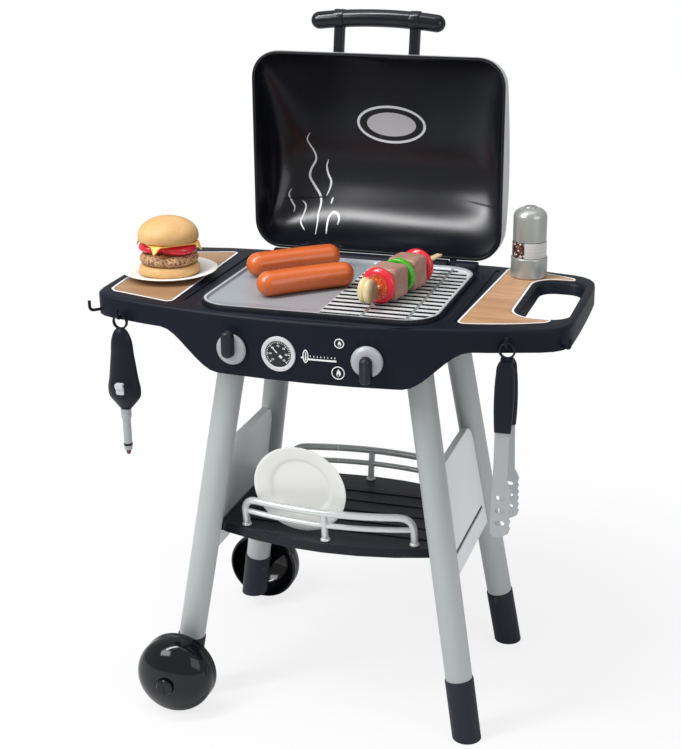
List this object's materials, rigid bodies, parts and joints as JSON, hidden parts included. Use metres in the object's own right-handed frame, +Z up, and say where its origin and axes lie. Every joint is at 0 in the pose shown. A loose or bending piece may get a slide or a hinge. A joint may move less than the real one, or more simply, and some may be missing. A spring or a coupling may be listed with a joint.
{
  "type": "toy barbecue grill",
  "caption": "Toy barbecue on splayed legs with an open hinged lid, side shelves, knobs, a wheel pair, a lower shelf with rails, hanging tools and play food.",
  "frame": {"origin": "centre of the bounding box at floor level", "axes": "+X towards the shelf with the handle hole, -Y towards the knobs and the user, +Z up"},
  "size_m": [0.7068, 0.5002, 1.0186],
  "materials": {
    "deck_black": "satin moulded",
    "tray_grey": "satin silver-grey",
    "wood_print": "printed film",
    "leg_silver": "satin grey",
    "cap_charcoal": "matt",
    "panel_silver": "satin grey",
    "rail_silver": "satin silver-grey",
    "wheel_black": "glossy",
    "lid_silver": "satin silver-grey",
    "lid_black": "satin",
    "pin_steel": "plain",
    "knob_grey": "satin",
    "lever_black": "satin",
    "click_plastic": "plain",
    "tool_black": "satin",
    "tool_grey": "satin",
    "flame_red": "glossy",
    "mill_silver": "metallic silver",
    "mill_jar": "printed band",
    "plate_white": "satin",
    "bun_tan": "matt",
    "patty_brown": "rough grained",
    "tomato_red": "glossy",
    "cheese_yellow": "satin",
    "sausage_orange": "glossy",
    "stick_wood": "matt",
    "mushroom_cream": "satin",
    "meat_brown": "matt",
    "pepper_green": "glossy"
  },
  "bodies": {
    "frame": {"deck_shell": "deck_black", "shelf_label_left": "wood_print", "shelf_label_right": "wood_print", "leg_front_left": "leg_silver", "leg_front_right": "leg_silver", "leg_back_left": "leg_silver", "leg_back_right": "leg_silver", "foot_cap_front_left": "cap_charcoal", "foot_cap_front_right": "cap_charcoal", "foot_cap_back_left": "cap_charcoal", "foot_cap_back_right": "cap_charcoal", "side_panel_left": "panel_silver", "side_panel_right": "panel_silver", "basket_shelf": "deck_black", "rail_front": "rail_silver", "rail_back": "rail_silver", "wheel_screw_front": "wheel_black", "wheel_screw_back": "wheel_black", "hinge_pin_left": "pin_steel", "hinge_pin_right": "pin_steel"},
    "tray": {"cooking_tray": "tray_grey"},
    "lid": {"lid_shell": "lid_silver", "lid_liner": "lid_black", "lid_handle": "lid_black"},
    "knob_left": {"knob_dial_left": "knob_grey", "knob_lever_left": "lever_black", "click_wheel_left": "click_plastic"},
    "knob_right": {"knob_dial_right": "knob_grey", "knob_lever_right": "lever_black", "click_wheel_right": "click_plastic"},
    "wheel_front": {"wheel_front": "wheel_black"},
    "wheel_back": {"wheel_back": "wheel_black"},
    "lighter": {"lighter_body": "tool_black", "lighter_wand": "tool_grey"},
    "lighter_button": {"lighter_button": "tool_grey"},
    "lighter_flame": {"lighter_flame": "flame_red"},
    "tongs": {"tongs_ring": "tool_black"},
    "tongs_front_arm": {"tongs_handle_front": "tool_black", "tongs_blade_front": "tool_grey"},
    "tongs_back_arm": {"tongs_handle_back": "tool_black", "tongs_blade_back": "tool_grey"},
    "mill": {"mill_base": "mill_silver", "mill_jar": "mill_jar"},
    "mill_cap": {"mill_cap": "mill_silver"},
    "serving_plate": {"plate_serving": "plate_white"},
    "bun_base": {"bun_base": "bun_tan"},
    "patty": {"burger_patty": "patty_brown"},
    "tomato": {"burger_tomato": "tomato_red"},
    "cheese": {"burger_cheese": "cheese_yellow"},
    "bun_crown": {"bun_crown": "bun_tan"},
    "sausage_rear": {"sausage_rear": "sausage_orange"},
    "sausage_front": {"sausage_front": "sausage_orange"},
    "skewer": {"skewer_stick": "stick_wood", "skewer_mushroom": "mushroom_cream", "skewer_tomato_front": "tomato_red", "skewer_tomato_back": "tomato_red", "skewer_meat_front": "meat_brown", "skewer_meat_back": "meat_brown", "skewer_pepper": "pepper_green"},
    "stored_plate": {"plate_stored": "plate_white"}
  },
  "joints": [
    {"name": "lid_hinge", "type": "hinge", "parent": "frame", "child": "lid", "pos_m": [-0.0035, 0.13629, 0.636], "axis": [1, 0, 0], "range_deg": [0, 91]},
    {"name": "knob_left_turn", "type": "hinge", "parent": "frame", "child": "knob_left", "pos_m": [-0.1125, -0.19355, 0.589], "axis": [-0.0943, -0.9955, 0], "continuous": true},
    {"name": "knob_right_turn", "type": "hinge", "parent": "frame", "child": "knob_right", "pos_m": [0.0845, -0.1946, 0.589], "axis": [0.0931, -0.9957, 0], "continuous": true},
    {"name": "wheel_front_roll", "type": "hinge", "parent": "frame", "child": "wheel_front", "pos_m": [-0.2219, -0.18621, 0.06], "axis": [0, 1, 0], "continuous": true},
    {"name": "wheel_back_roll", "type": "hinge", "parent": "frame", "child": "wheel_back", "pos_m": [-0.2219, 0.16679, 0.06], "axis": [0, 1, 0], "continuous": true},
    {"name": "lighter_swing", "type": "hinge", "parent": "frame", "child": "lighter", "pos_m": [-0.2935, -0.17067, 0.612], "axis": [0, 1, 0], "range_deg": [-12, 12]},
    {"name": "lighter_button_push", "type": "slide", "parent": "lighter", "child": "lighter_button", "axis": [0, 1, 0], "range_m": [0, 0.005], "stiffness_N_per_m": 120},
    {"name": "lighter_flame_slide", "type": "slide", "parent": "lighter", "child": "lighter_flame", "axis": [0, 0, -1], "range_m": [0, 0.005]},
    {"name": "tongs_swing", "type": "hinge", "parent": "frame", "child": "tongs", "pos_m": [0.2715, -0.16704, 0.618], "axis": [0, 1, 0], "range_deg": [-10, 10]},
    {"name": "tongs_front_squeeze", "type": "hinge", "parent": "tongs", "child": "tongs_front_arm", "pos_m": [0.2715, -0.17605, 0.594], "axis": [1, 0, 0], "range_deg": [0, 5], "stiffness_Nm_per_rad": 0.6},
    {"name": "tongs_back_squeeze", "type": "hinge", "parent": "tongs", "child": "tongs_back_arm", "pos_m": [0.2715, -0.15804, 0.594], "axis": [1, 0, 0], "range_deg": [-5, 0], "stiffness_Nm_per_rad": 0.6},
    {"name": "mill_lift", "type": "slide", "parent": "frame", "child": "mill", "axis": [0, 0, -1], "range_m": [-0.08, 0]},
    {"name": "mill_cap_turn", "type": "hinge", "parent": "mill", "child": "mill_cap", "pos_m": [0.2455, 0.11429, 0.6392], "axis": [0, 0, 1], "continuous": true},
    {"name": "tray_lift", "type": "slide", "parent": "frame", "child": "tray", "axis": [0, 0, -1], "range_m": [-0.05, 0]},
    {"name": "serving_plate_lift", "type": "slide", "parent": "frame", "child": "serving_plate", "axis": [0, 0, -1], "range_m": [-0.05, 0]},
    {"name": "bun_base_lift", "type": "slide", "parent": "serving_plate", "child": "bun_base", "axis": [0, 0, -1], "range_m": [-0.03, 0]},
    {"name": "patty_lift", "type": "slide", "parent": "bun_base", "child": "patty", "axis": [0, 0, -1], "range_m": [-0.03, 0]},
    {"name": "tomato_lift", "type": "slide", "parent": "patty", "child": "tomato", "axis": [0, 0, -1], "range_m": [-0.03, 0]},
    {"name": "cheese_lift", "type": "slide", "parent": "tomato", "child": "cheese", "axis": [0, 0, -1], "range_m": [-0.03, 0]},
    {"name": "bun_crown_lift", "type": "slide", "parent": "cheese", "child": "bun_crown", "axis": [0, 0, -1], "range_m": [-0.03, 0]},
    {"name": "sausage_rear_lift", "type": "slide", "parent": "tray", "child": "sausage_rear", "axis": [0, 0, -1], "range_m": [-0.06, 0]},
    {"name": "sausage_front_lift", "type": "slide", "parent": "tray", "child": "sausage_front", "axis": [0, 0, -1], "range_m": [-0.06, 0]},
    {"name": "skewer_lift", "type": "slide", "parent": "tray", "child": "skewer", "axis": [0, 0, -1], "range_m": [-0.06, 0]},
    {"name": "stored_plate_lift", "type": "slide", "parent": "frame", "child": "stored_plate", "axis": [0, 0, -1], "range_m": [-0.06, 0]}
  ],
  "couplings": [
    {"joint": "lighter_flame_slide", "follows": "lighter_button_push", "ratio": 1},
    {"joint": "tongs_back_squeeze", "follows": "tongs_front_squeeze", "ratio": -1}
  ]
}
